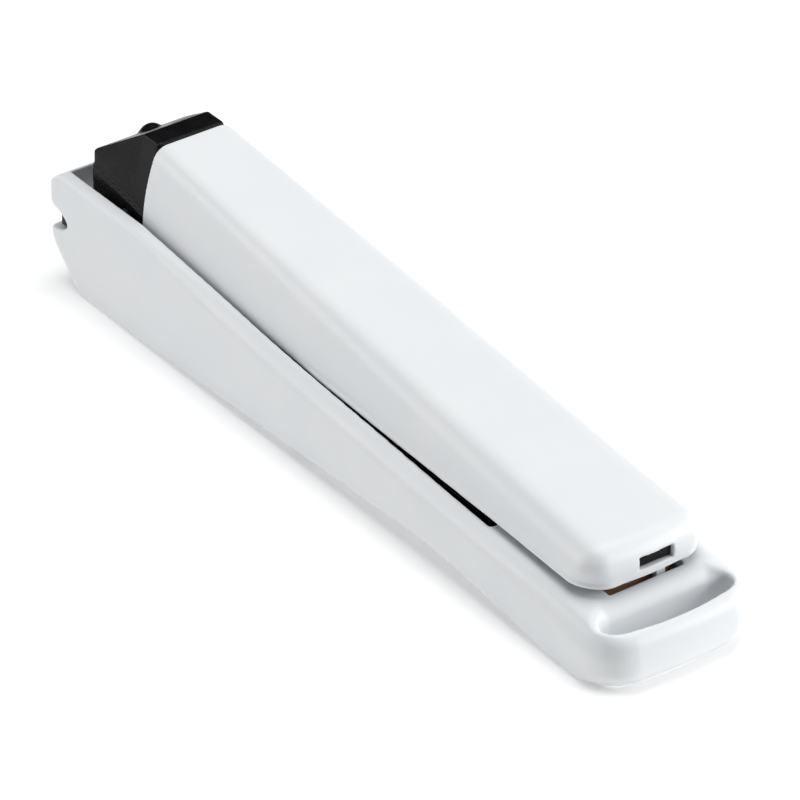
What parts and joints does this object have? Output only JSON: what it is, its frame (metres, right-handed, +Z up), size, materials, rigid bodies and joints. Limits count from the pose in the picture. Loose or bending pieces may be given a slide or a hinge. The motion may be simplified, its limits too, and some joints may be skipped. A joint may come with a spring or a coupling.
{
  "type": "handheld bag heat sealer",
  "caption": "Slim battery-powered bag heat sealer: a white lever arm hinged in a tub-shaped base, a heated strip in a slot under its nose, and a hanging loop at the front.",
  "frame": {"origin": "centre of the footprint, on the surface the sealer rests on", "axes": "+X towards the nose and hanging loop, +Y across the width, +Z up"},
  "size_m": [0.19, 0.0372, 0.0409],
  "materials": {
    "white_plastic": "satin moulded ABS, cool white",
    "black_plastic": "fine-textured moulded ABS",
    "cell_can": null,
    "steel": "bright zinc plating",
    "spring_steel": "drawn wire",
    "heat_resistant_plastic": "moulded phenolic",
    "nichrome": "dull grey ribbon",
    "brown_tape": "PTFE-coated glass cloth",
    "brass": "stamped, bright",
    "red_insulation": "PVC sleeve",
    "black_insulation": "PVC sleeve",
    "silicone": "soft moulded silicone"
  },
  "bodies": {
    "base": {"base_shell": "white_plastic", "bottom_cover": "white_plastic", "inner_tray": "black_plastic", "battery_cell_a": "cell_can", "battery_cell_b": "cell_can", "contact_negative": "steel", "contact_positive": "steel", "contact_link": "steel", "battery_spring_a": "spring_steel", "battery_spring_b": "spring_steel", "heater_block": "heat_resistant_plastic", "heater_strip": "nichrome", "heater_tape": "brown_tape", "heater_terminal_left": "brass", "heater_terminal_right": "brass", "switch_leaf_left": "brass", "switch_leaf_right": "brass", "wire_positive": "red_insulation", "wire_negative": "black_insulation", "wire_heater": "black_insulation", "hinge_pin": "steel", "return_spring": "spring_steel", "base_screw_rear_left": "steel", "base_screw_rear_right": "steel", "base_screw_front_left": "steel", "base_screw_front_right": "steel"},
    "door": {"battery_door": "white_plastic"},
    "arm": {"arm_cover": "white_plastic", "arm_frame": "black_plastic", "pad_holder": "white_plastic", "press_pad": "silicone", "stop_hook": "white_plastic", "contact_bridge": "brass", "arm_screw_rear": "steel", "arm_screw_front": "steel"}
  },
  "joints": [
    {"name": "arm_hinge", "type": "hinge", "parent": "base", "child": "arm", "pos_m": [-0.073, 0, 0.023], "axis": [0, 1, 0], "range_deg": [0, 0.68], "stiffness_Nm_per_rad": 0.5, "springref_deg": -28.65},
    {"name": "battery_door_hinge", "type": "hinge", "parent": "base", "child": "door", "pos_m": [-0.0248, 0, 0.00231], "axis": [0, -1, 0], "range_deg": [0, 75]}
  ]
}
